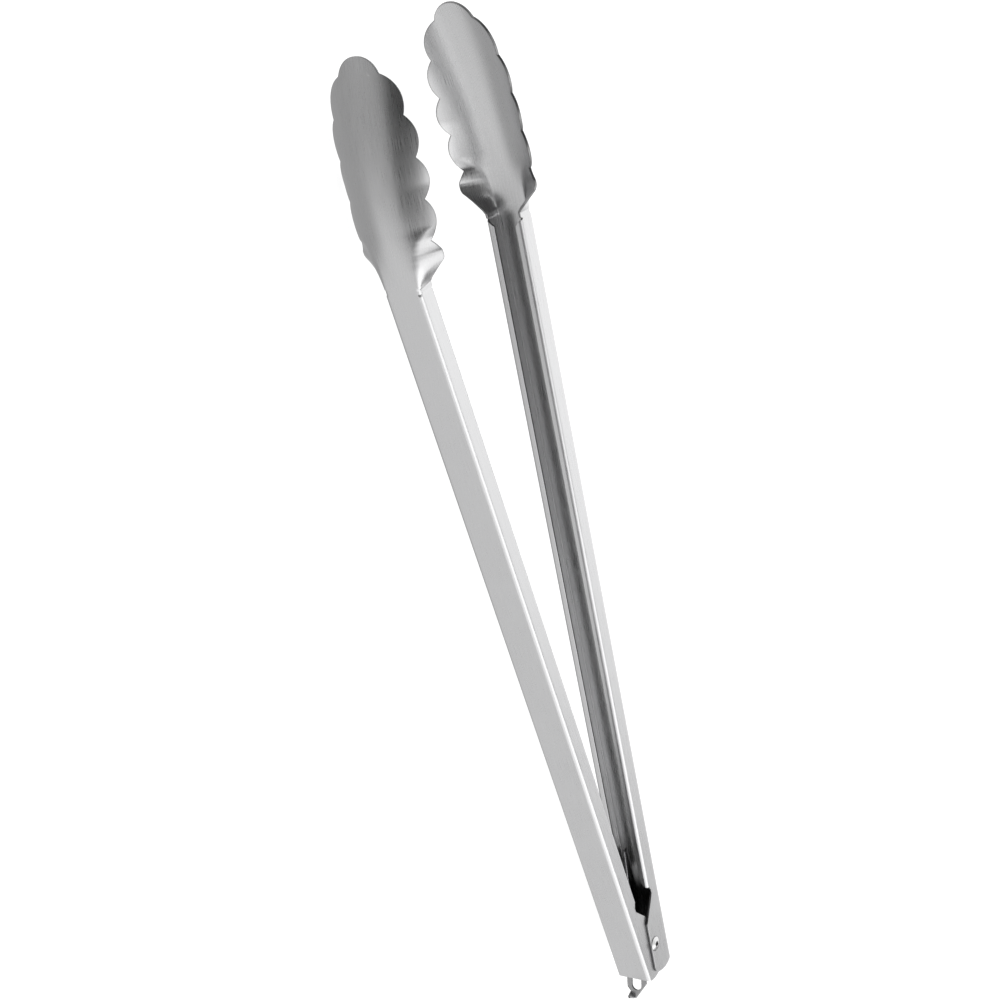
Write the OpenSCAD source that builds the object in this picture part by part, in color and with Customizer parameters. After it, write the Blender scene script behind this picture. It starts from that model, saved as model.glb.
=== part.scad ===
// Spring loaded kitchen tongs, lying on their side and open as far as they go.
// Origin: centre of the pivot rivet. +Z: along the rivet. +Y: towards the heads, on the centreline.
// +X: the way the right arm opens. Both arms are the same stamping, turned over about the Y axis.
// An arm is drawn in its own directions: x = outwards, y = along the arm, z = along the rivet.

/* [Overall] */
// Angle between each arm and the centreline when the tongs are fully open
half_open = 5; // [4:0.1:6]
// Distance from the rivet to the tip of a head, along the arm
tip_reach = 388; // [387:0.5:390]
// Distance from the rivet to the tail end of an arm's web
tail_reach = 12.4; // [12:0.1:12.8]

/* [Arm channel] */
// Width of the channel, over its side walls
channel_w = 15.1; // [14.8:0.1:15.4]
// Depth of the channel, from its web to its lips
channel_d = 8; // [7.6:0.1:8.4]
// Thickness of the steel sheet
sheet_t = 0.9; // [0.8:0.05:1]
// Distance from the rivet's axis to the outside of the web
web_out = 10; // [9.8:0.1:10.4]
// Outer radius of the sheet's bends
bend_r = 1.4; // [1.2:0.1:1.6]
// Width of the lips that turn in along the open side
lip_w = 3; // [2.5:0.1:3.5]

/* [Ears] */
// Side play between an ear and the other arm's ear
ear_gap = 0.1; // [0.08:0.01:0.15]
// How far an ear reaches past the rivet's axis
ear_reach = 3; // [2.8:0.1:3.4]
// Radius of the rivet hole in an ear
ear_hole_r = 2.5; // [2.5:0.01:2.54]
// Where the lips stop and the ears begin, from the rivet
ear_top = 25; // [24.5:0.5:26]

/* [Head] */
// Where the channel opens out into the head, from the rivet
neck_y = 308; // [307:0.5:309]
// Radius of the head's bend along its length, outside
head_long_r = 233.5; // [231:0.5:238]
// Radius of the head's cupped section, outside
head_cross_r = 30; // [29:0.5:32]
// Radius of the scallops along each side
scallop_r = 11.5; // [11:0.1:12]
// Radius of the lobe at the tip
tip_r = 8.5; // [8.4:0.1:8.8]
// Half the head's width at each notch, from the neck to the tip
notch_half_w = [14.3, 15.3, 15.4, 14.2, 8.2];
// Spacing of the notches along the head
notch_pitch = 13.85; // [13.7:0.05:13.9]
// Distance from the tip back to the first notch
tip_lobe_l = 6; // [5.8:0.1:6.2]
// Half the width across the two corners where the head starts
root_half_w = 16.5; // [16.3:0.1:16.8]

/* [Rivet] */
// Outer radius of the rivet's hollow shank
shank_r = 2.45; // [2.42:0.01:2.48]
// Radius of the bore through the rivet
rivet_bore_r = 1; // [0.8:0.05:1.2]
// Radius of the rivet's domed heads
dome_r = 3.1; // [3:0.05:3.3]
// Height of the rivet's domed heads
dome_h = 1; // [0.8:0.05:1.2]

/* [Torsion spring] */
// Diameter of the spring wire
wire_d = 1.1; // [1:0.05:1.15]
// Radius of the coil, to the middle of the wire
coil_r = 4.2; // [4:0.05:4.4]
// Number of turns in the coil
coil_turns = 8; // [6:1:9]
// Length of each leg, from the rivet
leg_l = 38.5; // [36:0.5:40]

/* [Lock slider] */
// Width of the slider's strip
slider_w = 8.9; // [8.6:0.1:9.1]
// Where the slider's inner end lies, from the rivet
slider_end = 30; // [28:0.5:32]
// How far the slider's two prongs reach in from the strip
prong_l = 4; // [3:0.1:4.2]
// Length of the pull tab past its bend
tab_l = 9.2; // [9:0.1:9.6]
// Angle that the pull tab leans out from the arm
tab_lean = 25; // [20:1:28]
// Width of the hanging slot in the pull tab
slot_w = 4.4; // [4.2:0.1:4.6]

/* [Hidden] */
$fn = 64;
steel = [0.80, 0.80, 0.81];
wire_steel = [0.66, 0.66, 0.68];
cut = 1;                                   // how far a cutter runs past what it cuts
play = 0.1;                                // gap between pieces that lie against each other
side_shift = (sheet_t + ear_gap) / 2;      // each arm sits this far to its own side
half_w = channel_w / 2;
wall_in = half_w - sheet_t;
web_in = web_out - sheet_t;
lip_out = web_out - channel_d;
wall_foot = web_out - bend_r;              // where the flat of a wall meets the web's bend
outer_ear = half_w + side_shift;           // outermost ear face, from the centre plane
head_start = neck_y - 3;                   // where the head's bend along its length begins
head_drop = 0.05;                          // keeps the head's skin just inside the web's outer face
last_notch = len(notch_half_w) - 1;
first_notch_y = tip_reach - tip_lobe_l - last_notch * notch_pitch;
root_corner_r = 4;
root_y = first_notch_y - 5.2;
slider_outer = web_in - play;              // the slider lies along the inside of the left web
slider_inner = slider_outer - sheet_t;
tab_bend_y = -tail_reach - 0.6;

function notch(i) = [first_notch_y + i * notch_pitch, notch_half_w[i]];

// Centre of the arc of radius r that bulges away from the head between points a and b
function bulge_centre(a, b, r) = let (
    step = b - a,
    inward = [step[1], -step[0]] / norm(step)
) (a + b) / 2 + inward * sqrt(r * r - step * step / 4);

// Places a shape drawn in arm directions as the right arm, or turned over as the left arm
module as_right() {
    rotate([0, 0, -half_open]) translate([0, 0, side_shift]) children();
}
module as_left() {
    rotate([0, 180, 0]) as_right() children();
}

// Draws a flat outline of (outwards, along) and gives it a thickness from z0 up
module side_plate(z0, thickness) {
    translate([0, 0, z0]) linear_extrude(thickness) children();
}

// Draws a flat outline of (along, across) and pushes it through the arm from x0 outwards
module face_plate(x0, thickness) {
    translate([x0, 0, 0]) rotate([90, 0, 90]) linear_extrude(thickness) children();
}

module rounded_rect(x0, x1, half_y, r) {
    translate([x0 + r, -half_y]) square([x1 - x0 - 2 * r, 2 * half_y]);
    translate([x0, r - half_y]) square([x1 - x0, 2 * (half_y - r)]);
    for (x = [x0 + r, x1 - r], y = [r - half_y, half_y - r]) translate([x, y]) circle(r);
}

// The lipped channel, from the tail to the neck
module channel() {
    translate([0, neck_y, 0]) rotate([90, 0, 0]) linear_extrude(neck_y + tail_reach) difference() {
        rounded_rect(lip_out, web_out, half_w, bend_r);
        rounded_rect(lip_out + sheet_t, web_in, wall_in, bend_r - sheet_t);
        translate([lip_out - cut, lip_w - half_w]) square([sheet_t + 2 * cut, channel_w - 2 * lip_w]);
    }
}

// Clears the lips and the walls' open edges where the ears take their place, with rounded lip corners
module ear_clearance() {
    lip_corner_r = 4.5;
    lip_corner_out = half_w + 1.25;
    edge_cut = bend_r + 0.8;
    wide = channel_w + 2 * cut;
    face_plate(lip_out - cut, cut + edge_cut) {
        translate([-tail_reach - cut, -wide / 2]) square([ear_top + tail_reach + cut, wide]);
        for (side = [-1, 1]) scale([1, side]) difference() {
            translate([ear_top - cut, 0]) square([lip_corner_r + cut, lip_corner_out]);
            translate([ear_top + lip_corner_r, lip_corner_out]) circle(lip_corner_r);
        }
    }
}

// Cuts the lips off at a slant where the neck begins
module lip_slant() {
    for (side = [-1, 1]) scale([1, 1, side]) face_plate(lip_out - cut, cut + sheet_t + 0.5) polygon([
        [neck_y - 1.8, half_w - lip_w - cut / 2], [neck_y + cut, half_w - bend_r],
        [neck_y + cut, half_w - lip_w - cut / 2]
    ]);
}

// Side outline of an ear: it reaches across the rivet, with a rounded tail and a slanted shoulder
module ear_outline() {
    tail_r = 10;
    corner_r = 3;
    tail_centre = [3.9, tail_r - tail_reach - 2];
    corner_x = corner_r - ear_reach;
    corner_drop = sqrt((tail_r - corner_r) ^ 2 - (tail_centre[0] - corner_x) ^ 2);
    corner_centre = [corner_x, tail_centre[1] - corner_drop];
    corner_end = tail_centre + (corner_centre - tail_centre) * tail_r / (tail_r - corner_r);
    ear_step_y = 11.1;
    shoulder = [lip_out + bend_r + 0.8, ear_top - 3.3];
    polygon([
        [wall_foot, tail_centre[1]], [wall_foot, ear_top + 3], [lip_out + bend_r, ear_top + 3],
        [lip_out + bend_r, ear_top], shoulder + [0, 2], shoulder, [-ear_reach, ear_step_y],
        [-ear_reach, corner_centre[1]], corner_centre
    ]);
    translate(corner_centre) circle(corner_r);
    intersection() {
        translate(tail_centre) circle(tail_r);
        polygon([
            tail_centre, corner_centre, corner_end, corner_end - [0, corner_r],
            [wall_foot, tail_centre[1] - 2 * tail_r], [wall_foot, tail_centre[1]]
        ]);
    }
}

// Flat outline of the head seen from its cupped side, as (along, across)
module head_outline() {
    root = [root_y, root_half_w - root_corner_r];
    flare = root + root_corner_r * [-sin(45), cos(45)];
    for (side = [-1, 1]) scale([1, side]) {
        polygon([
            [head_start - cut, 0], [head_start - cut, half_w - bend_r], [neck_y + 3.8, half_w], flare,
            root, for (i = [0:last_notch]) notch(i), [tip_reach - tip_r, 0]
        ]);
        translate(root) circle(root_corner_r);
        for (i = [0:last_notch - 1])
            translate(bulge_centre(notch(i), notch(i + 1), scallop_r)) circle(scallop_r);
    }
    translate([tip_reach - tip_r, 0]) circle(tip_r);
}

// Skin of the head: curved along its length and cupped across it
module head() {
    ring_r = head_long_r - head_cross_r;
    intersection() {
        translate([web_out - head_drop - head_long_r, head_start, 0])
            rotate_extrude(angle = 24, $fn = 360) intersection() {
                translate([ring_r, 0]) difference() {
                    circle(head_cross_r);
                    circle(head_cross_r - sheet_t);
                }
                translate([ring_r + head_cross_r / 2, -head_cross_r])
                    square([head_cross_r, 2 * head_cross_r]);
            }
        face_plate(web_out - 40, 45) head_outline();
    }
}

// The walls run on over the neck and die away in the head
module neck_walls() {
    for (z0 = [wall_in, -half_w]) side_plate(z0, sheet_t) polygon([
        [lip_out + 1, neck_y - 2], [wall_foot - 0.6, neck_y - 2], [wall_foot - 0.6, neck_y + 8],
        [wall_foot - 1.4, neck_y + 8], [lip_out + 1, neck_y + 0.8]
    ]);
}

// One stamped arm, in arm directions
module arm() {
    difference() {
        union() {
            difference() {
                channel();
                ear_clearance();
                lip_slant();
            }
            for (z0 = [wall_in, -half_w]) side_plate(z0, sheet_t) ear_outline();
            head();
            neck_walls();
        }
        cylinder(h = channel_w + 2 * cut, r = ear_hole_r, center = true);
    }
}

module arm_right() {
    color(steel) as_right() arm();
}

module arm_left() {
    color(steel) as_left() arm();
}

// Hollow rivet with a domed head at each end
module pivot_rivet() {
    under_head = outer_ear + ear_gap / 2;
    dome_sphere_r = (dome_r ^ 2 + dome_h ^ 2) / (2 * dome_h);
    color(steel) difference() {
        union() {
            cylinder(h = 2 * under_head, r = shank_r, center = true);
            for (side = [-1, 1]) scale([1, 1, side]) translate([0, 0, under_head])
                rotate_extrude() intersection() {
                    translate([0, dome_h - dome_sphere_r]) circle(dome_sphere_r);
                    square([dome_r, dome_h]);
                }
        }
        cylinder(h = 2 * (under_head + dome_h + cut), r = rivet_bore_r, center = true);
    }
}

// Coil of touching turns, with a straight leg that bears on the inside of each arm's web
module torsion_spring() {
    turn_pitch = wire_d - 0.05;
    coil_half = (coil_turns - 1) / 2 * turn_pitch;
    leg_end_x = web_in - wire_d / 2 - play;
    leg_lean = atan((leg_end_x - coil_r) / leg_l);
    leg_r = wire_d / 2 - 0.03;
    color(wire_steel) {
        for (i = [0:coil_turns - 1]) translate([0, 0, i * turn_pitch - coil_half])
            rotate_extrude() translate([coil_r, 0]) circle(wire_d / 2, $fn = 24);
        for (side = [-1, 1]) translate([0, 0, -side * coil_half])
            rotate([0, 0, -side * (half_open + leg_lean)]) translate([side * coil_r, 0, 0])
                rotate([-90, 0, 0]) cylinder(h = leg_l, r = leg_r);
    }
}

// Rounded slot as (along, across), from y0 to y1
module slot_outline(y0, y1) {
    end_r = slot_w / 2;
    translate([y0 + end_r, -end_r]) square([y1 - y0 - slot_w, slot_w]);
    for (y = [y0 + end_r, y1 - end_r]) translate([y, 0]) circle(end_r);
}

// Strip with two prongs at its inner end and a leaning pull tab with a hanging slot at the tail
module slider() {
    half_strip = slider_w / 2;
    prong_half = wall_in - side_shift - 2 * play;
    prong_gap = 4.8;
    slot_up = 3;
    slot_down = 5.4;
    blunt = [1.5, 0.3];
    difference() {
        union() {
            face_plate(slider_inner, sheet_t) {
                translate([tab_bend_y, -half_strip]) square([slider_end - tab_bend_y, slider_w]);
                translate([slider_end - 4, -prong_half]) square([4, 2 * prong_half]);
            }
            for (side = [-1, 1]) scale([1, 1, side])
                translate([slider_inner - prong_l, slider_end - sheet_t, prong_gap])
                    cube([prong_l + sheet_t / 2, sheet_t, prong_half - prong_gap]);
        }
        face_plate(slider_inner - cut, sheet_t + 2 * cut) slot_outline(tab_bend_y - slot_w, tab_bend_y + slot_up);
    }
    translate([slider_outer, tab_bend_y, 0]) rotate([0, 0, tab_lean]) {
        difference() {
            face_plate(-sheet_t, sheet_t) polygon([
                [0.2, -half_strip], [0.2, half_strip], [-4.4, half_strip], [-tab_l, blunt[0]],
                [-tab_l, blunt[1]], [-2.2, -half_strip]
            ]);
            face_plate(-sheet_t - cut, sheet_t + 2 * cut) slot_outline(-slot_down, slot_w);
        }
        finger_lip();
    }
}

// Small three-cornered flap turned out from the tab's slanted end
module finger_lip() {
    skin = sheet_t / 2;
    corners = [[-skin, -6.3, 2.7], [-skin, skin - tab_l, 1], [3.2, -8.2, 2.7]];
    hull() for (c = corners) translate(c) sphere(skin, $fn = 16);
}

module lock_slider() {
    color(steel) as_left() translate([0, 0, -side_shift]) slider();
}

arm_left();
arm_right();
pivot_rivet();
torsion_spring();
lock_slider();
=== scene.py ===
"""Spring loaded kitchen tongs in brushed stainless steel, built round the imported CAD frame.

Row frame: the rivet stands along +Z at the origin, +Y runs to the heads and +X is the right arm's side.
An arm is worked out in its own directions, in millimetres: u outwards, s along the arm, v along the rivet.
"""
import math

import bpy
import numpy as np
from mathutils import Matrix, Vector
from mathutils.geometry import delaunay_2d_cdt


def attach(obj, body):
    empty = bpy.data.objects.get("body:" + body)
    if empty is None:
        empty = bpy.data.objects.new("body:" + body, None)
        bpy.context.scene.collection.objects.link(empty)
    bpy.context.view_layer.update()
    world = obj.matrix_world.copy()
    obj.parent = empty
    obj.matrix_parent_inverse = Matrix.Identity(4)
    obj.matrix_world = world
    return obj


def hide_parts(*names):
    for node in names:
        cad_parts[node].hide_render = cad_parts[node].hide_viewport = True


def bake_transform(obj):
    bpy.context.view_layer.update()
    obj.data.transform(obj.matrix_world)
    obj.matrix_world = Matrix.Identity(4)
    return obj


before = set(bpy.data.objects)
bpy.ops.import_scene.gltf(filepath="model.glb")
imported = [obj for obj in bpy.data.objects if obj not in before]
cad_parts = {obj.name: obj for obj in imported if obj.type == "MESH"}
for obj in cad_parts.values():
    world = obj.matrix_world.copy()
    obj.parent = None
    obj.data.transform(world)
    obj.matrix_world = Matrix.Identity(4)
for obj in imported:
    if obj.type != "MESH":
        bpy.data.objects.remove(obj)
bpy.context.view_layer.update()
MM = 0.001

# ---------------------------------------------------------------- driving sizes, in millimetres
HALF_OPEN = math.radians(5)
SHEET = 0.9
WEB_OUT, WEB_HALF = 10.0, 7.55          # outside of the web from the rivet; half the channel's width
DEPTH, BEND_R, LIP = 8.0, 1.4, 3.0      # channel depth, outer bend radius, lip width
SIDE_SHIFT = 0.5                        # each arm sits this far to its own side
EAR_REACH, EAR_TOP, EAR_STEP = 3.0, 25.0, 11.1
EAR_NOTCH_LOW, EAR_NOTCH_HIGH, EAR_NOTCH_U = 21.7, 23.7, 4.2      # the straight foot of the ear's slant
EAR_ARC_R, EAR_ARC_U, EAR_CORNER_R = 10.0, 3.9, 3.0               # the arc round the tail, and its corner
EAR_HOLE_R = 2.5
LIP_CORNER_R, LIP_CORNER_V = 4.5, 8.8
LIP_SLANT_L, LIP_SLANT = 1.8, 1.15      # the lips end on a slant at the neck
WEB_TAIL, EAR_TAIL = -12.4, -14.4
HEAD_START, NECK, TIP = 305.0, 308.0, 388.0
HEAD_LONG_R = 233.5
NOTCH_V = (14.3, 15.3, 15.4, 14.2, 8.2)
NOTCH_PITCH, TIP_LOBE, TIP_R, SCALLOP_R = 13.85, 6.0, 8.5, 11.5
ROOT_V, ROOT_R, ROOT_BACK = 16.5, 4.0, 5.2
LIPS_END, NECK_END = 308.7, 331.0       # the neck's shaped part lies between these
CUP_NECK_R, CUP_TIP_R = 24.5, 30.0      # radius of the cupped section near the neck and near the tip
CUP_EASE = (345, 368)                   # where one goes over into the other
EDGE_SHADE_WIDTH = 0.4                         # width of the painted shade band along the head's cut edge
DARK_END, DARK_FADE = 44, 16            # painted shade: the tail's inside is darkened up to here, and fades out

MID = SHEET / 2
BEND_MID = BEND_R - MID
BEND_LEN = BEND_MID * math.pi / 2
WEB_FLAT = WEB_HALF - BEND_R
LIP_IN = WEB_HALF - LIP                 # free edge of the lips, from the arm's middle
WALL_FLAT = DEPTH - 2 * BEND_R
LIP_FLAT = LIP - BEND_R
WALL_TOP = WEB_FLAT + BEND_LEN          # developed distance from the web's centre to the wall's foot
WALL_END = WALL_TOP + WALL_FLAT
LIP_START = WALL_END + BEND_LEN
LIP_END = LIP_START + LIP_FLAT
WALL_FOOT_U = WEB_OUT - BEND_R
FIRST_NOTCH = TIP - TIP_LOBE - (len(NOTCH_V) - 1) * NOTCH_PITCH
NOTCHES = [(FIRST_NOTCH + i * NOTCH_PITCH, v) for i, v in enumerate(NOTCH_V)]
ROOT_S = FIRST_NOTCH - ROOT_BACK


# ---------------------------------------------------------------- the stamped arm
def bulge_centre(a, b, r):
    """Centre of the arc of radius r that bulges away from the head between a and b."""
    a, b = np.array(a), np.array(b)
    step = b - a
    inward = np.array([step[1], -step[0]]) / np.linalg.norm(step)
    return (a + b) / 2 + inward * math.sqrt(r * r - step @ step / 4)


LOBES = [((ROOT_S, ROOT_V - ROOT_R), ROOT_R), ((TIP - TIP_R, 0.0), TIP_R)]
LOBES += [(tuple(bulge_centre(a, b, SCALLOP_R)), SCALLOP_R) for a, b in zip(NOTCHES, NOTCHES[1:])]


def head_half_width(s):
    """Half the head's width at s: a flare at the neck, then the outline of the lobes."""
    flare = np.interp(s, [LIPS_END, 311.0, 312.4, 315.3, 318.4], [WEB_HALF - MID, 7.2, 8.3, 11.5, 15.1])
    if s <= ROOT_S - ROOT_R * math.sin(math.pi / 4):
        return flare
    first_notch_s, first_notch_v = NOTCHES[0]
    best = 0.0
    if ROOT_S < s < first_notch_s:                # straight edge from the root corner to the first notch
        best = np.interp(s, [ROOT_S + 1, first_notch_s], [ROOT_V, first_notch_v])
    for (cs, cv), r in LOBES:
        if abs(s - cs) <= r:
            best = max(best, cv + math.sqrt(max(0.0, r * r - (s - cs) ** 2)))
    return best


def integrate_section(bends, base, length):
    """Runs a section from its centre: returns developed length, across, depth and angle samples.
    bends is a list of (start, width, angle); base is the curvature everywhere."""
    n = 400
    l = np.linspace(0, length, n)
    angle = base * l
    for start, width, turn in bends:
        angle = angle + turn * np.clip((l - start) / width, 0, 1)
    step = l[1] - l[0]
    mid = (angle[1:] + angle[:-1]) / 2
    v = np.concatenate([[0], np.cumsum(np.cos(mid)) * step])
    w = np.concatenate([[0], np.cumsum(np.sin(mid)) * step])
    return l, v, w, angle


WEB_COLS = np.linspace(0, 1, 9)
BEND_COLS = np.linspace(0, 1, 8)[1:]
WALL_COLS = 1 - (1 - np.linspace(0, 1, 15)[1:]) ** 1.7
LIP_BEND_COLS = np.linspace(0, 1, 8)[1:]
LIP_COLS = np.linspace(0, 1, 4)[1:]


def columns(web, bend, wall, limit):
    """Developed position of every column of half a section."""
    l = np.concatenate([
        WEB_COLS * web, web + BEND_COLS * bend, web + bend + WALL_COLS * wall,
        web + bend + wall + LIP_BEND_COLS * BEND_LEN,
        web + bend + wall + BEND_LEN + LIP_COLS * LIP_FLAT,
    ])
    return np.minimum(l, limit)


def lip_limit(s):
    """How far the sheet reaches at s: rounded lip corners above the ears, a slant at the neck."""
    v = LIP_IN
    if s < EAR_TOP + LIP_CORNER_R:
        drop = EAR_TOP + LIP_CORNER_R - s
        v = max(v, LIP_CORNER_V - math.sqrt(max(0.0, LIP_CORNER_R ** 2 - drop ** 2)))
    if s > NECK - LIP_SLANT_L:
        v = max(v, LIP_IN + (s - NECK + LIP_SLANT_L) * LIP_SLANT)
    if v <= WEB_FLAT:
        return LIP_START + (WEB_FLAT - v)
    if v >= WEB_FLAT + BEND_MID:
        return WALL_END
    return WALL_END + BEND_MID * math.acos((v - WEB_FLAT) / BEND_MID)


def ear_edge_u(s):
    """Free edge of the ear at s: full reach, a slant, a short straight run, then out to the lip's bend."""
    return np.interp(s, [EAR_STEP, EAR_NOTCH_LOW, EAR_NOTCH_HIGH, EAR_TOP],
                     [-EAR_REACH, EAR_NOTCH_U, EAR_NOTCH_U, WEB_OUT - DEPTH + BEND_R])


def ear_bottom(u):
    """Lowest s of the sheet where the ear stands at u: a broad arc with a rounded corner."""
    big, small = EAR_ARC_R, EAR_CORNER_R
    cu, cs = EAR_ARC_U, EAR_TAIL + big
    ku = small - EAR_REACH
    ks = cs - math.sqrt((big - small) ** 2 - (cu - ku) ** 2)
    meet = cu + (ku - cu) * big / (big - small)
    if u >= meet:
        return cs - math.sqrt(big ** 2 - (u - cu) ** 2)
    return ks - math.sqrt(max(0.0, small ** 2 - (u - ku) ** 2))


def place(s, v, w, angle):
    """Point of the middle of the sheet, and its outward normal, in (u, s, v)."""
    r = HEAD_LONG_R - MID
    back = np.maximum(0, s - HEAD_START)
    across = r - w
    u_from_axis = np.sqrt(across ** 2 - back ** 2)
    u = WEB_OUT - MID - r + u_from_axis
    n_u, n_s = u_from_axis / across, back / across
    normal = np.stack([np.cos(angle) * n_u, np.cos(angle) * n_s, np.sin(angle)], -1)
    return np.stack([u, np.broadcast_to(s, u.shape), v], -1), normal


def tail_rows():
    """Rows from the tail end up to where the lips begin: web, bends and flat ears."""
    rows = []
    base = -4.0                                   # rows below this follow the tail's outline
    levels = [("low", t) for t in np.linspace(0, 1, 9)[:-1] ** 1.5]
    levels += [("at", s) for s in (base, 0.0, 4.0, 8.0, EAR_STEP, 14.0, 18.0, EAR_NOTCH_LOW, 22.7,
                                   EAR_NOTCH_HIGH, 24.4)]
    sl, sv, sw, sa = integrate_section([(WEB_FLAT, BEND_LEN, math.pi / 2)], 0.0, 24.0)
    for kind, t in levels:
        edge_u = -EAR_REACH if kind == "low" else float(ear_edge_u(t))
        l = columns(WEB_FLAT, BEND_LEN, WALL_FLAT, WALL_END)
        wall = l > WALL_TOP
        l[wall] = WALL_TOP + (l[wall] - WALL_TOP) * (WALL_FOOT_U - edge_u) / WALL_FLAT
        v, w, a = (np.interp(l, sl, x) for x in (sv, sw, sa))
        s = np.full(l.shape, t, float)
        if kind == "low":
            u = WEB_OUT - MID - w
            corner = ear_bottom(WALL_FOOT_U)
            low = np.where(l <= WEB_FLAT, WEB_TAIL, 0.0)
            bend = (l > WEB_FLAT) & (l <= WALL_TOP + 1e-9)
            low[bend] = WEB_TAIL + (corner - WEB_TAIL) * ((l[bend] - WEB_FLAT) / BEND_LEN) ** 2
            low[l > WALL_TOP] = [ear_bottom(x) for x in u[l > WALL_TOP]]
            s = low + (base - low) * t
        rows.append((l, s, *place(s, v, w, a)))
    return rows


def channel_rows():
    """Rows of the handle: web, walls and lips, closest together where the lips begin and end."""
    rows = []
    stations = list(EAR_TOP + 4.6 * np.linspace(0, 1, 22) ** 1.6) + list(np.linspace(32, 300, 42))
    stations += [303, 305, 306.2] + list(np.linspace(306.5, LIPS_END, 8))
    bends = [(WEB_FLAT, BEND_LEN, math.pi / 2), (WALL_END, BEND_LEN, math.pi / 2)]
    sl, sv, sw, sa = integrate_section(bends, 0.0, LIP_END + 1)
    for s in stations:
        l = columns(WEB_FLAT, BEND_LEN, WALL_FLAT, min(LIP_END, lip_limit(s)))
        v, w, a = (np.interp(l, sl, x) for x in (sv, sw, sa))
        rows.append((l, np.full(l.shape, float(s)), *place(np.full(l.shape, float(s)), v, w, a)))
    return rows


def neck_section(s, half):
    """Half section of the neck at s: a web that grows cupped, a bend, and a wall that ends on the outline.

    Returns the developed widths of the three, the web's curvature and how far the bend turns.
    """
    cup = np.interp(s, [306, 312, 318, 322, 327, NECK_END], [0, 0.1, 0.35, 0.6, 0.85, 1]) / CUP_NECK_R
    web = np.interp(s, [LIPS_END, 316, 320, 323, 325, 327, 328.5, NECK_END],
                    [WEB_FLAT, 6.1, 6.2, 6.8, 7.6, 8.8, 10.2, 12.6])
    bend = np.interp(s, [LIPS_END, 312, 316, 320, NECK_END], [BEND_LEN, 1.7, 2.6, 3.4, 3.0])
    web = min(web, half - 0.75 * bend)
    round_cup = CUP_NECK_R - math.sqrt(CUP_NECK_R ** 2 - half ** 2)
    deep = np.interp(s, [LIPS_END, 311, 319, 321], [7.1, 7.3, 7.1, 6.8])
    deep = np.interp(s, [320, 327.5], [deep, round_cup])
    lo, hi = 0.0, math.pi / 2
    for _ in range(40):                           # the turn that aims the wall at the outline's edge
        turn = (lo + hi) / 2
        _, sv, sw, sa = integrate_section([(web, bend, turn)], cup, web + bend)
        aim = math.atan2(deep - sw[-1], half - sv[-1])
        lo, hi = (turn, hi) if sa[-1] < aim else (lo, turn)
    wall = math.hypot(deep - sw[-1], half - sv[-1])
    return web, bend, wall, cup, turn


def head_rows():
    """The neck, where the walls flare out and die away, and the cupped, scalloped head."""
    tip_centre = TIP - TIP_R
    stations = list(np.linspace(LIPS_END + 0.5, 327, 50))
    for (a, _), (b, _) in zip(NOTCHES, NOTCHES[1:]):
        stations += list((a + b) / 2 - np.cos(np.linspace(0, math.pi, 19)) * (b - a) / 2)
    last = math.acos((NOTCHES[-1][0] - tip_centre) / TIP_R)
    stations += [tip_centre + TIP_R * math.cos(t) for t in np.linspace(last, 0, 18)[1:]]
    stations = sorted(set(round(s, 4) for s in stations))
    rows = []
    for s in stations:
        half = head_half_width(s)
        half = max(half - MID * min(1, half / 26), 0.01)      # the cupped sheet's rim leans outwards
        if s < NECK_END:
            web, bend, wall, cup, turn = neck_section(s, half)
            length = web + bend + wall
            sl, sv, sw, sa = integrate_section([(web, bend, turn)], cup, web + bend)
            far = np.linspace(0, wall, 60)[1:]
            sl = np.concatenate([sl, sl[-1] + far])
            sv = np.concatenate([sv, sv[-1] + far * math.cos(sa[-1])])
            sw = np.concatenate([sw, sw[-1] + far * math.sin(sa[-1])])
            sa = np.concatenate([sa, np.full(len(far), sa[-1])])
        else:
            cross_r = np.interp(s, CUP_EASE, [CUP_NECK_R, CUP_TIP_R])
            length = cross_r * math.asin(half / cross_r)
            sl, sv, sw, sa = integrate_section([], 1 / cross_r, length)
            ease = np.clip((s - NECK_END) / 12, 0, 1)
            web, bend = length * (0.78 - 0.4 * ease), length * (0.18 - 0.03 * ease)
            wall = length - web - bend
        l = columns(web, bend, wall, length)
        v, w, a = (np.interp(l, sl, x) for x in (sv, sw, sa))
        if s >= TIP - 1e-6:
            v, w, a = v * 0, w * 0, a * 0
        rows.append((l, np.full(l.shape, s), *place(np.full(l.shape, s), v, w, a)))
    return rows


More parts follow.
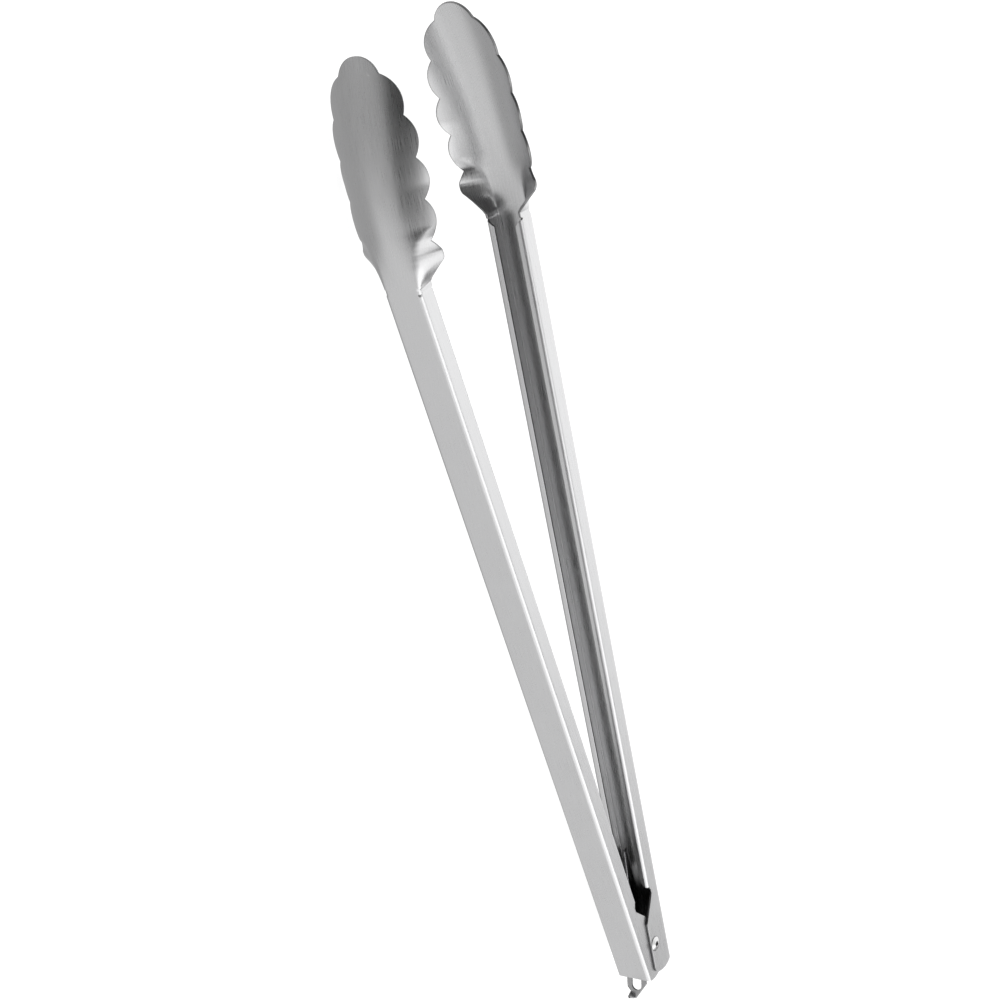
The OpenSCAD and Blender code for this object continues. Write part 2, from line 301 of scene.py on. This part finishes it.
def arm_sheet():
    """Middle surface of the whole stamping: points (u, s, v), normals, developed coordinates, quads."""
    rows = tail_rows() + channel_rows() + head_rows()
    points, normals, flat = [], [], []
    for l, s, p, n in rows:
        mirror = np.array([1, 1, -1])
        points.append(np.concatenate([(p * mirror)[:0:-1], p]))
        normals.append(np.concatenate([(n * mirror)[:0:-1], n]))
        head = np.clip((s - NECK) / 6, 0, 1)
        # painted shade: a band along the head's cut edge gets three quarters of the edge darkening
        edge_band_shade = 0.75 * head * np.clip(1 - (l[-1] - l) / EDGE_SHADE_WIDTH, 0, 1)
        flat.append(np.concatenate([np.stack([-l, s, edge_band_shade], -1)[:0:-1], np.stack([l, s, edge_band_shade], -1)]))
    points, normals, flat = np.array(points), np.array(normals), np.array(flat)
    neck = [i for i, r in enumerate(rows) if 306.0 < r[1][0] < NECK_END + 2]
    along = np.gradient(points, axis=0)
    for i in neck:                                # the swung-out walls aren't square to the arm
        across = np.cross(along[i], np.cross(normals[i], along[i]))
        tilt = normals[i] - along[i] * (
            np.sum(normals[i] * along[i], -1) / np.maximum(np.sum(along[i] ** 2, -1), 1e-9))[:, None]
        length = np.linalg.norm(tilt, axis=-1, keepdims=True)
        normals[i] = np.where(length > 0.3, tilt / np.maximum(length, 1e-9), normals[i])
    n_rows, n_cols = points.shape[:2]
    quads = [(r * n_cols + c, (r + 1) * n_cols + c, (r + 1) * n_cols + c + 1, r * n_cols + c + 1)
             for r in range(n_rows - 1) for c in range(n_cols - 1)]
    return points.reshape(-1, 3), normals.reshape(-1, 3), flat.reshape(-1, 3), quads


def weld(points, faces, size=1e-4):
    """Joins points that coincide and drops faces that collapse. Returns kept indices and faces."""
    keys = {}
    index = []
    kept = []
    for i, p in enumerate(np.round(points / size).astype(np.int64)):
        k = tuple(p)
        if k not in keys:
            keys[k] = len(kept)
            kept.append(i)
        index.append(keys[k])
    out = []
    for f in faces:
        g = []
        for i in (index[j] for j in f):
            if i not in g:
                g.append(i)
        if len(g) > 2:
            out.append(tuple(g))
    return kept, out


def sheet_solid(points, normals, flat, faces, round_off=0.13):
    """Thickens a middle surface into sheet metal with lightly rounded edges."""
    kept, faces = weld(points, faces)
    points, normals, flat = points[kept], normals[kept], flat[kept]
    count = {}
    for f in faces:
        for a, b in zip(f, f[1:] + f[:1]):
            count[(a, b)] = count.get((a, b), 0) + 1
    border = {a: b for a, b in count if (b, a) not in count}
    n = len(points)
    half = SHEET / 2
    outward = np.zeros_like(points)
    for a, b in border.items():
        step = points[b] - points[a]
        out = np.cross(step, normals[a] + normals[b])
        out /= max(np.linalg.norm(out), 1e-12)
        outward[a] += out
        outward[b] += out
    for i in border:
        outward[i] /= max(np.linalg.norm(outward[i]), 1e-12)
    top = points + normals * half - outward * round_off
    bottom = points - normals * half - outward * round_off
    rim = sorted(border)
    number = {v: i for i, v in enumerate(rim)}
    rim_top = points[rim] + normals[rim] * (half - round_off)
    rim_bottom = points[rim] - normals[rim] * (half - round_off)
    m = len(rim)
    verts = np.concatenate([top, bottom, rim_top, rim_bottom])
    coords = np.concatenate([flat, flat, flat[rim], flat[rim]])
    # painted shade: the rim's vertices get the full edge darkening
    coords[2 * n:, 2] = 1.0
    # painted shade: the tail's inner faces are darkened, fading out towards the handle
    shaded = np.clip((DARK_END - coords[:, 1]) / DARK_FADE, 0, 1)
    inner = np.repeat([0.0, 1.0, 0.0, 1.0], [n, n, m, m]) * shaded
    coords = np.concatenate([coords, inner[:, None]], axis=1)
    out = [tuple(f) for f in faces]
    out += [tuple(i + n for i in reversed(f)) for f in faces]
    for a, b in border.items():
        ta, tb = 2 * n + number[a], 2 * n + number[b]
        out.append((b, a, ta, tb))
        out.append((tb, ta, ta + m, tb + m))
        out.append((tb + m, ta + m, a + n, b + n))
    return verts, coords, out


def to_row(points, side, shift):
    """(u, s, v) of an arm to the row frame. side is 1 for the right arm and -1 for the left."""
    c, s = math.cos(HALF_OPEN), math.sin(HALF_OPEN)
    u, along, v = points[:, 0], points[:, 1], points[:, 2]
    x = u * c + along * s
    y = along * c - u * s
    z = v + shift
    if side < 0:
        x, z = -x, -z
    return np.stack([x, y, z], -1)


def make_mesh(name, points_mm, faces, flat, smooth_angle=32):
    """Smooth-shaded object. flat holds, for each point, across and along for the grain, and two masks of
    painted shade.
    """
    mesh = bpy.data.meshes.new(name)
    mesh.from_pydata([tuple(p * MM) for p in points_mm], [], faces)
    layer = mesh.uv_layers.new(name="grain")
    loops = np.zeros(len(mesh.loops), int)
    mesh.loops.foreach_get("vertex_index", loops)
    layer.data.foreach_set("uv", (flat[loops, :2] * 0.01).astype(np.float32).ravel())
    # two masks of painted shade: darkened edges, and the darkened inside of the tail
    cut = mesh.attributes.new("edge_painted_shade", "FLOAT", "POINT")
    cut.data.foreach_set("value", flat[:, 2].astype(np.float32))
    inner = mesh.attributes.new("tail_inside_shade", "FLOAT", "POINT")
    inner.data.foreach_set("value", flat[:, 3].astype(np.float32))
    mesh.shade_smooth()
    mesh.set_sharp_from_angle(angle=math.radians(smooth_angle))
    obj = bpy.data.objects.new(name, mesh)
    bpy.context.scene.collection.objects.link(obj)
    return obj


def cut_round_hole(obj, radius):
    """Bores a round hole along Z through the origin."""
    bpy.ops.mesh.primitive_cylinder_add(vertices=64, radius=radius * MM, depth=40 * MM)
    cutter = bpy.context.active_object
    bpy.context.view_layer.update()
    modifier = obj.modifiers.new("bore", "BOOLEAN")
    modifier.operation = "DIFFERENCE"
    modifier.solver = "EXACT"
    modifier.object = cutter
    applied = bpy.data.meshes.new_from_object(obj.evaluated_get(bpy.context.evaluated_depsgraph_get()))
    obj.modifiers.clear()
    obj.data = applied
    bpy.data.objects.remove(cutter)


ARM = sheet_solid(*arm_sheet())


def build_arm(name, side):
    """One arm: the stamping laid on its side of the row frame, with the rivet's hole through its ears."""
    points, flat, faces = ARM
    obj = make_mesh(name, to_row(points, side, SIDE_SHIFT), faces, flat)
    cut_round_hole(obj, EAR_HOLE_R)
    return obj


# ---------------------------------------------------------------- the lock slider, cut flat and folded
SLIDER_W, SLIDER_END, PRONG = 8.9, 30.0, 4.0
PLAY = 0.1                              # gap between pieces that lie against each other
SLIDER_MID = WEB_OUT - SHEET - PLAY - MID
TAB_BEND = WEB_TAIL - 0.6
TAB_LEAN = math.radians(25)
SLOT_W, SLOT_UP, SLOT_DOWN = 4.4, 3.0, 5.4
PRONG_IN, PRONG_OUT = 4.8, 5.95         # inner and outer edge of a prong, from the strip's middle line


def rounded_outline(corners, segments=5):
    """Closed outline through (along, across, radius) corners, with each corner rounded."""
    out = []
    n = len(corners)
    for i in range(n):
        p = np.array(corners[i][:2], float)
        r = corners[i][2]
        a = np.array(corners[i - 1][:2], float) - p
        b = np.array(corners[(i + 1) % n][:2], float) - p
        a /= np.linalg.norm(a)
        b /= np.linalg.norm(b)
        half = math.acos(np.clip(a @ b, -1, 1)) / 2
        reach = r / math.tan(half)
        centre = p + (a + b) / np.linalg.norm(a + b) * r / math.sin(half)
        start, end = p + a * reach - centre, p + b * reach - centre
        for t in np.linspace(0, 1, segments):
            d = start * (1 - t) + end * t
            out.append(centre + d / np.linalg.norm(d) * r)
    return out


def refine(outline, step):
    """Adds points along the straight runs of a closed outline."""
    out = []
    for a, b in zip(outline, outline[1:] + outline[:1]):
        n = max(1, int(np.linalg.norm(b - a) / step))
        out += [a + (b - a) * t for t in np.arange(n) / n]
    return out


def inside(p, outline):
    """Even-odd test of points against a closed outline."""
    q = np.array(outline)
    r = np.roll(q, -1, axis=0)
    hit = np.zeros(len(p), int)
    for a, b in zip(q, r):
        crosses = (a[1] > p[:, 1]) != (b[1] > p[:, 1])
        with np.errstate(divide="ignore", invalid="ignore"):
            x = a[0] + (p[:, 1] - a[1]) / (b[1] - a[1]) * (b[0] - a[0])
        hit += crosses & (p[:, 0] < x)
    return hit % 2 == 1


def fold(points, normals, origin, direction, angle, radius):
    """Folds everything past a line in the (along, across) plane, outwards for a positive angle."""
    n = np.array([0, *direction], float)
    n /= np.linalg.norm(n)
    ex = np.array([1.0, 0, 0])
    reach = radius * abs(angle)
    t = (points - np.array([0, *origin])) @ n
    phi = abs(angle) * np.clip((t + reach / 2) / reach, 0, 1)
    beyond = np.maximum(0, t - reach / 2)
    before = np.minimum(t, -reach / 2)
    sign = math.copysign(1, angle)
    run = before + radius * np.sin(phi) + beyond * math.cos(angle)
    rise = sign * (radius * (1 - np.cos(phi)) + beyond * abs(math.sin(angle)))
    sin, cos = (sign * np.sin(phi))[:, None], np.cos(phi)[:, None]
    h = points[:, :1]
    out = points - n * t[:, None] - ex * h + n * run[:, None] + ex * rise[:, None]
    out += h * (ex * cos - n * sin)
    part_n, part_x = (normals @ n)[:, None], normals[:, :1]
    turned = normals - n * part_n - ex * part_x
    turned += n * (part_n * cos - part_x * sin) + ex * (part_n * sin + part_x * cos)
    return out, turned


def slider_flat():
    """Outline and slot of the slider before it is folded, as (along, across)."""
    half = SLIDER_W / 2
    wide, gap = PRONG_OUT, PRONG_IN
    prong_end = SLIDER_END + PRONG - 0.2          # the fold takes up the 0.2
    tab = TAB_BEND
    outline = rounded_outline([
        (prong_end, wide, 0.4), (SLIDER_END - 4, wide, 0.4), (SLIDER_END - 4, half, 0.3),
        (tab - 4.5, half, 0.7), (tab - 6.3, 2.95, 0.25), (tab - 9.75, 4.75, 0.6), (tab - 9.1, 0.55, 0.45),
        (tab - 2.2, -half, 0.8), (SLIDER_END - 4, -half, 0.3), (SLIDER_END - 4, -wide, 0.4),
        (prong_end, -wide, 0.4), (prong_end, -gap, 0.4), (SLIDER_END - 1.0, -gap, 0.3),
        (SLIDER_END - 1.0, gap, 0.3), (prong_end, gap, 0.4),
    ])
    r = SLOT_W / 2
    top, low = tab + SLOT_UP - r, tab - SLOT_DOWN + r
    turn = np.linspace(0, math.pi, 17)
    slot = [np.array([top + r * math.sin(t), r * math.cos(t)]) for t in turn]
    slot += [np.array([low - r * math.sin(t), -r * math.cos(t)]) for t in turn]
    return refine(outline, 0.7), refine(slot, 0.6)


def build_slider(name):
    """The slider: cut flat, its flap, tab and prongs folded, then thickened."""
    outline, slot = slider_flat()
    along = np.concatenate([np.arange(-24, 28, 0.7), np.arange(28.6, 34.2, 0.12)])
    along = np.concatenate([along, TAB_BEND + np.linspace(-0.5, 0.5, 9)])
    grid = np.stack(np.meshgrid(np.sort(along), np.arange(-5.85, 5.9, 0.45)), -1).reshape(-1, 2)
    fold_from = np.array([TAB_BEND - 6.3, 2.9])
    fold_to = np.array([TAB_BEND - 9.0, 0.9])
    run = (fold_to - fold_from) / np.linalg.norm(fold_to - fold_from)
    square = np.array([run[1], -run[0]])
    near = [fold_from + run * i * 0.3 + square * j * 0.09 for i in range(-2, 13) for j in range(-6, 7)]
    grid = np.concatenate([grid, np.array(near)])
    edges = np.concatenate([outline, slot])
    keep = inside(grid, outline) & ~inside(grid, slot)
    keep &= np.array([np.min(np.linalg.norm(edges - g, axis=1)) > 0.22 for g in grid])
    points = [Vector(p) for p in np.concatenate([edges, grid[keep]])]
    n, m = len(outline), len(slot)
    lines = [(i, (i + 1) % n) for i in range(n)] + [(n + i, n + (i + 1) % m) for i in range(m)]
    verts, _, faces, *_ = delaunay_2d_cdt(points, lines, [], 2, 1e-5)
    flat = np.array([tuple(v) for v in verts])
    solid = np.concatenate([np.zeros((len(flat), 1)), flat], axis=1)
    normals = np.tile([1.0, 0, 0], (len(flat), 1))
    flap = square if square[0] < 0 else -square
    solid, normals = fold(solid, normals, fold_from, flap, math.radians(75), 0.6)
    solid, normals = fold(solid, normals, (TAB_BEND, 0), (-1, 0), TAB_LEAN, 1.4)
    is_prong = (flat[:, 0] > SLIDER_END - 2) & (np.abs(flat[:, 1]) > PRONG_IN - 0.4)
    bent, bent_n = fold(solid, normals, (SLIDER_END - 0.557, 0), (1, 0), math.radians(-90), 0.5)
    solid[is_prong], normals[is_prong] = bent[is_prong], bent_n[is_prong]
    solid[:, 0] += SLIDER_MID
    middles = np.array([flat[list(f)].mean(axis=0) for f in faces])
    faces = [tuple(f) for f, in_slot in zip(faces, inside(middles, slot)) if not in_slot]
    across_along = np.stack([flat[:, 1], flat[:, 0] + 60, np.zeros(len(flat))], -1)
    verts, coords, out = sheet_solid(solid, normals, across_along, faces)
    return make_mesh(name, to_row(verts, -1, 0), out, coords, smooth_angle=40)


# ---------------------------------------------------------------- the rivet and the spring
def build_rivet(name):
    """A rivet with a domed head at each end and a fine bore along it."""
    bore, shank, dome_r, dome_h = 1.0, 2.45, 3.1, 1.0
    under = WEB_HALF + SIDE_SHIFT + 0.05          # the heads lie just clear of the outer ears
    sphere_r = (dome_r ** 2 + dome_h ** 2) / (2 * dome_h)
    centre = under + dome_h - sphere_r
    edge, lip = 0.12, 0.2
    half_profile = [(shank, 0.0), (shank, under - 0.04), (shank + 0.04, under), (dome_r - edge, under)]
    half_profile += [(dome_r - edge + edge * math.sin(t), under + edge * (1 - math.cos(t)))
                     for t in np.linspace(0.4, math.pi / 2, 4)]
    first = math.asin((dome_r - 0.03) / sphere_r)
    last = math.asin((bore + lip) / sphere_r)
    half_profile += [(sphere_r * math.sin(t), centre + sphere_r * math.cos(t))
                     for t in np.linspace(first, last, 16)]
    top = centre + sphere_r * math.cos(last)
    half_profile += [(bore + lip * (1 - math.sin(t)), top - lip * (1 - math.cos(t)))
                     for t in np.linspace(0, math.pi / 2, 6)[1:]]
    half_profile += [(bore, 0.0)]
    lower = [(r, -z) for r, z in half_profile[1:-1]]
    profile = half_profile + lower[::-1]
    steps = 96
    rim = dome_r - 0.25                           # painted shade: the dome's edge is darkened outside this
    verts, faces, coords = [], [], []
    for i in range(steps):
        a = 2 * math.pi * i / steps
        verts += [np.array([r * math.cos(a), r * math.sin(a), z]) for r, z in profile]
        coords += [(r * 2, a * 3, 1.0 if r > rim else 0.0, 0) for r, z in profile]
    n = len(profile)
    for i in range(steps):
        for j in range(n):
            k = (j + 1) % n
            i2 = (i + 1) % steps
            faces.append((i * n + j, i2 * n + j, i2 * n + k, i * n + k))
    return make_mesh(name, verts, faces, np.array(coords), smooth_angle=50)


WIRE_R, COIL_R, LEG = 0.55, 4.2, 38.5
COIL_PITCH, COIL_TURNS = 1.1, 7         # whole turns; the way to the legs adds a part of one
LEG_Z = 4.2                             # the legs' ends lean a little outwards


def spring_path():
    """Middle of the wire: left leg, coil, right leg."""
    leg_end = WEB_OUT - SHEET - WIRE_R - PLAY
    lean = HALF_OPEN + math.atan((leg_end - COIL_R) / LEG)
    total = COIL_TURNS * 2 * math.pi + (math.pi - 2 * lean)
    z_half = COIL_PITCH * total / (4 * math.pi)
    start = math.pi + lean
    path = []
    for side, z in ((-1, z_half), (1, -z_half)):
        root = np.array([side * COIL_R * math.cos(lean), -COIL_R * math.sin(lean), z])
        run = np.array([side * math.sin(lean), math.cos(lean), (math.copysign(LEG_Z, z) - z) / LEG])
        leg = [root + run * t for t in list(np.linspace(0.15, LEG - 1.2, 60)) + [LEG - 0.7, LEG - 0.2]]
        path.append(leg)
    coil = []
    for t in np.linspace(0, 1, 420):
        a = start + total * t
        coil.append(np.array([COIL_R * math.cos(a), COIL_R * math.sin(a), z_half * (1 - 2 * t)]))
    return path[0][::-1] + coil + path[1]


def build_spring(name):
    """The wire swept along its path, with slightly closed ends."""
    path = np.array(spring_path())
    tangent = np.gradient(path, axis=0)
    tangent /= np.linalg.norm(tangent, axis=1, keepdims=True)
    side = np.cross(tangent, [0, 0, 1.0])
    side /= np.linalg.norm(side, axis=1, keepdims=True)
    up = np.cross(side, tangent)
    ring = 20
    n = len(path)
    radius = np.full(n, WIRE_R)
    radius[0] = radius[-1] = WIRE_R * 0.7
    verts, coords = [], []
    travel = np.concatenate([[0], np.cumsum(np.linalg.norm(np.diff(path, axis=0), axis=1))])
    for i in range(n):
        for j in range(ring):
            a = 2 * math.pi * j / ring
            verts.append(path[i] + radius[i] * (side[i] * math.cos(a) + up[i] * math.sin(a)))
            coords.append((j * 0.19, travel[i], 0, 0))
    faces = [(i * ring + j, (i + 1) * ring + j, (i + 1) * ring + (j + 1) % ring, i * ring + (j + 1) % ring)
             for i in range(n - 1) for j in range(ring)]
    faces += [tuple(range(ring)), tuple((n - 1) * ring + j for j in range(ring))[::-1]]
    return make_mesh(name, verts, faces, np.array(coords), smooth_angle=50)


# ---------------------------------------------------------------- finishes
def node(tree, kind, **values):
    """A new shader node with these properties set."""
    made = tree.nodes.new(kind)
    for key, value in values.items():
        setattr(made, key, value)
    return made


def steel_material(name, colour, roughness, edge_shade_tone=0.35, grain_scale=(480, 11, 1)):
    """Brushed stainless steel: long fine grain, soft cloudy handling marks, brighter worn edges, and
    painted shade on marked edges and in the tail's inside.
    """
    mat = bpy.data.materials.new(name)
    mat.use_nodes = True
    tree = mat.node_tree
    bsdf = tree.nodes["Principled BSDF"]
    bsdf.inputs["Metallic"].default_value = 1.0
    bsdf.inputs["Anisotropic"].default_value = 0.35
    link = tree.links.new
    uv = node(tree, "ShaderNodeUVMap", uv_map="grain")
    spread = node(tree, "ShaderNodeMapping")
    spread.inputs["Scale"].default_value = grain_scale
    link(uv.outputs[0], spread.inputs["Vector"])
    streaks = node(tree, "ShaderNodeTexNoise", noise_dimensions="2D")
    streaks.inputs["Scale"].default_value = 1.0
    streaks.inputs["Detail"].default_value = 6.0
    streaks.inputs["Roughness"].default_value = 0.62
    link(spread.outputs[0], streaks.inputs["Vector"])
    clouds = node(tree, "ShaderNodeTexNoise")
    clouds.inputs["Scale"].default_value = 45.0
    clouds.inputs["Detail"].default_value = 4.0
    coords = node(tree, "ShaderNodeTexCoord")
    link(coords.outputs["Object"], clouds.inputs["Vector"])
    mix = node(tree, "ShaderNodeMath", operation="MULTIPLY_ADD")
    link(streaks.outputs[0], mix.inputs[0])
    mix.inputs[1].default_value = 0.75
    scaled = node(tree, "ShaderNodeMath", operation="MULTIPLY")
    link(clouds.outputs[0], scaled.inputs[0])
    scaled.inputs[1].default_value = 0.25
    link(scaled.outputs[0], mix.inputs[2])
    rough = node(tree, "ShaderNodeMapRange")
    rough.inputs["From Min"].default_value = 0.3
    rough.inputs["From Max"].default_value = 0.7
    rough.inputs["To Min"].default_value = roughness - 0.07
    rough.inputs["To Max"].default_value = roughness + 0.09
    link(mix.outputs[0], rough.inputs["Value"])
    link(rough.outputs[0], bsdf.inputs["Roughness"])
    geometry = node(tree, "ShaderNodeNewGeometry")
    worn = node(tree, "ShaderNodeMapRange")
    worn.inputs["From Min"].default_value = 0.52
    worn.inputs["From Max"].default_value = 0.6
    link(geometry.outputs["Pointiness"], worn.inputs["Value"])
    tone = node(tree, "ShaderNodeMapRange")
    tone.inputs["From Min"].default_value = 0.25
    tone.inputs["From Max"].default_value = 0.75
    tone.inputs["To Min"].default_value = 0.9
    tone.inputs["To Max"].default_value = 1.08
    link(mix.outputs[0], tone.inputs["Value"])
    tinted = node(tree, "ShaderNodeMix", data_type="RGBA", blend_type="MULTIPLY")
    tinted.inputs["Factor"].default_value = 1.0
    tinted.inputs["A"].default_value = (*colour, 1)
    link(tone.outputs[0], tinted.inputs["B"])
    edged = node(tree, "ShaderNodeMix", data_type="RGBA")
    link(worn.outputs[0], edged.inputs["Factor"])
    link(tinted.outputs["Result"], edged.inputs["A"])
    edged.inputs["B"].default_value = (*(min(1, c * 1.15) for c in colour), 1)
    # painted shade: marked edges are darkened to a fraction of the colour, standing in for the dark
    # outline along the sheet's edges
    edge_darkened = node(tree, "ShaderNodeMix", data_type="RGBA")
    edge_shade_mask = node(tree, "ShaderNodeAttribute", attribute_name="edge_painted_shade")
    link(edge_shade_mask.outputs["Fac"], edge_darkened.inputs["Factor"])
    link(edged.outputs["Result"], edge_darkened.inputs["A"])
    edge_darkened.inputs["B"].default_value = (*(c * edge_shade_tone for c in colour), 1)
    # painted shade: the inside of the tail is darkened to 0.3 of the colour, standing in for the dim light
    # between the walls
    tail_darkened = node(tree, "ShaderNodeMix", data_type="RGBA")
    tail_shade_mask = node(tree, "ShaderNodeAttribute", attribute_name="tail_inside_shade")
    link(tail_shade_mask.outputs["Fac"], tail_darkened.inputs["Factor"])
    link(edge_darkened.outputs["Result"], tail_darkened.inputs["A"])
    tail_darkened.inputs["B"].default_value = (*(c * 0.3 for c in colour), 1)
    link(tail_darkened.outputs["Result"], bsdf.inputs["Base Color"])
    bump = node(tree, "ShaderNodeBump")
    bump.inputs["Strength"].default_value = 0.12
    bump.inputs["Distance"].default_value = 0.0001
    link(mix.outputs[0], bump.inputs["Height"])
    link(bump.outputs[0], bsdf.inputs["Normal"])
    return mat


ARM_STEEL = (0.60, 0.60, 0.605)
arm_left = build_arm("arm_left_pressing", -1)
arm_right = build_arm("arm_right_pressing", 1)
slider = build_slider("lock_slider_pressing")
rivet = build_rivet("rolled_rivet")
spring = build_spring("spring_wire_coil")

# the last number is how dark the painted edge shade is; the slider's is darkest
for piece, slot_name, colour, roughness, edge_shade_tone in (
        (arm_left, "arm_left_steel", ARM_STEEL, 0.30, 0.35),
        (arm_right, "arm_right_steel", ARM_STEEL, 0.30, 0.35),
        (slider, "slider_steel", (0.52, 0.52, 0.525), 0.3, 0.12),
        (rivet, "rivet_steel", (0.62, 0.62, 0.62), 0.25, 0.35),
        (spring, "spring_wire", (0.50, 0.50, 0.51), 0.28, 0.35)):
    piece.data.materials.clear()
    piece.data.materials.append(steel_material(slot_name, colour, roughness, edge_shade_tone))

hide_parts("arm_left")
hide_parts("arm_right")
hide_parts("lock_slider")
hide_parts("pivot_rivet")
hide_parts("torsion_spring")
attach(arm_left, "arm_left")
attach(arm_right, "arm_right")
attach(slider, "lock_slider")
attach(rivet, "arm_left")
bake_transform(spring)

# ---------------------------------------------------------------- floor, light and camera
FLOOR_Z = -0.0185
FLOOR_SIZE = 12.0
mesh = bpy.data.meshes.new("floor")
h = FLOOR_SIZE / 2
corners = [(-h, -h, FLOOR_Z), (h, -h, FLOOR_Z), (h, h, FLOOR_Z), (-h, h, FLOOR_Z)]
mesh.from_pydata(corners, [], [(0, 1, 2, 3)])
floor = bpy.data.objects.new("floor", mesh)
bpy.context.scene.collection.objects.link(floor)
floor_mat = bpy.data.materials.new("floor_paper")
floor_mat.use_nodes = True
paper = floor_mat.node_tree.nodes["Principled BSDF"]
paper.inputs["Base Color"].default_value = (0.35, 0.35, 0.35, 1)
paper.inputs["Roughness"].default_value = 1.0
paper.inputs["Specular IOR Level"].default_value = 0.0
paper.inputs["Emission Color"].default_value = (1, 1, 1, 1)
paper.inputs["Emission Strength"].default_value = 0.85
mesh.materials.append(floor_mat)
floor.visible_glossy = False

# The studio round the object, as the steel reflects it, by azimuth and elevation in degrees.
# A panel is (azimuth, half width, soft edge, lowest, highest, soft ends, brightness).
BELOW, ABOVE = 0.88, 0.34
PANELS = (
    (0, 180, 10, -90, -58, 16, 0.50),     # shade straight below
    (174, 22, 8, -2, 46, 8, 0.04),        # dark room behind the camera
    (122, 36, 12, -2, 56, 8, 0.10),       # and to its left
    (175, 15, 8, -70, -6, 8, 0.46),       # shade on the floor below it
    (-158, 6, 5, -40, -20, 6, 1.05),      # strip of bright floor beside that shade
    (-122, 34, 8, -10, 90, 8, 1.4),       # wide white panel at the tail end
    (-86, 17, 5, -14, 6, 5, 1.35),        # low white card beside it
    (-108, 44, 10, 40, 70, 9, 2.0),       # lamp high above the tail end
    (10, 38, 28, -8, 62, 12, 1.42),       # large soft box past the right arm
    (0, 180, 10, 72, 90, 9, 1.05),        # overhead soft box
)
world = bpy.data.worlds.new("studio")
bpy.context.scene.world = world
world.use_nodes = True
tree = world.node_tree
link = tree.links.new
direction = node(tree, "ShaderNodeTexCoord")


def ramp(value, x0, x1, y0=0.0, y1=1.0):
    """Eases from y0 to y1 as the value goes from x0 to x1."""
    made = node(tree, "ShaderNodeMapRange", interpolation_type="SMOOTHSTEP")
    for key, number in (("From Min", x0), ("From Max", x1), ("To Min", y0), ("To Max", y1)):
        made.inputs[key].default_value = number
    link(value, made.inputs["Value"])
    return made.outputs[0]


def combine(operation, a, b):
    made = node(tree, "ShaderNodeMath", operation=operation)
    link(a, made.inputs[0])
    link(b, made.inputs[1])
    return made.outputs[0]


def along_axis(x, y, z):
    """How far the world direction points along this axis."""
    made = node(tree, "ShaderNodeVectorMath", operation="DOT_PRODUCT")
    made.inputs[1].default_value = (x, y, z)
    link(direction.outputs["Generated"], made.inputs[0])
    return made.outputs["Value"]


height = along_axis(0, 0, 1)
total = ramp(height, -0.12, 0.06, BELOW, ABOVE)
for azimuth, half, soft, low, high, ends, bright in PANELS:
    az = math.radians(azimuth)
    turned = combine("ARCTAN2", along_axis(-math.sin(az), math.cos(az), 0),
                     along_axis(math.cos(az), math.sin(az), 0))
    size = node(tree, "ShaderNodeMath", operation="ABSOLUTE")
    link(turned, size.inputs[0])
    mask = ramp(size.outputs[0], math.radians(half), math.radians(half + soft), 1, 0)
    if low > -90:
        edge = (math.sin(math.radians(max(-90, low - ends))), math.sin(math.radians(low)))
        mask = combine("MULTIPLY", mask, ramp(height, *edge))
    if high < 90:
        edge = (math.sin(math.radians(high)), math.sin(math.radians(min(90, high + ends))))
        mask = combine("MULTIPLY", mask, ramp(height, *edge, 1, 0))
    blend = node(tree, "ShaderNodeMix")
    link(mask, blend.inputs["Factor"])
    link(total, blend.inputs["A"])
    blend.inputs["B"].default_value = bright
    total = blend.outputs["Result"]
seen = node(tree, "ShaderNodeLightPath")
level = node(tree, "ShaderNodeMix")
link(seen.outputs["Is Camera Ray"], level.inputs["Factor"])
link(total, level.inputs["A"])
level.inputs["B"].default_value = 0.93
link(level.outputs["Result"], tree.nodes["Background"].inputs["Strength"])
tree.nodes["Background"].inputs["Color"].default_value = (1, 1, 1, 1)
bpy.context.scene.view_settings.view_transform = "Standard"

RIGHT = Vector((0.49963, -0.23040, 0.83430))
BACK = -Vector((0.71706, -0.43052, -0.54816))
UP = BACK.cross(RIGHT)
camera_data = bpy.data.cameras.new("camera")
camera_data.lens = 72
camera_data.sensor_width = 36
camera_data.clip_start = 0.01
camera = bpy.data.objects.new("camera", camera_data)
bpy.context.scene.collection.objects.link(camera)
turn = Matrix((RIGHT, UP, BACK)).transposed()
camera.matrix_world = Matrix.Translation(Vector((-0.53313, 0.52802, 0.39658))) @ turn.to_4x4()
bpy.context.scene.camera = camera
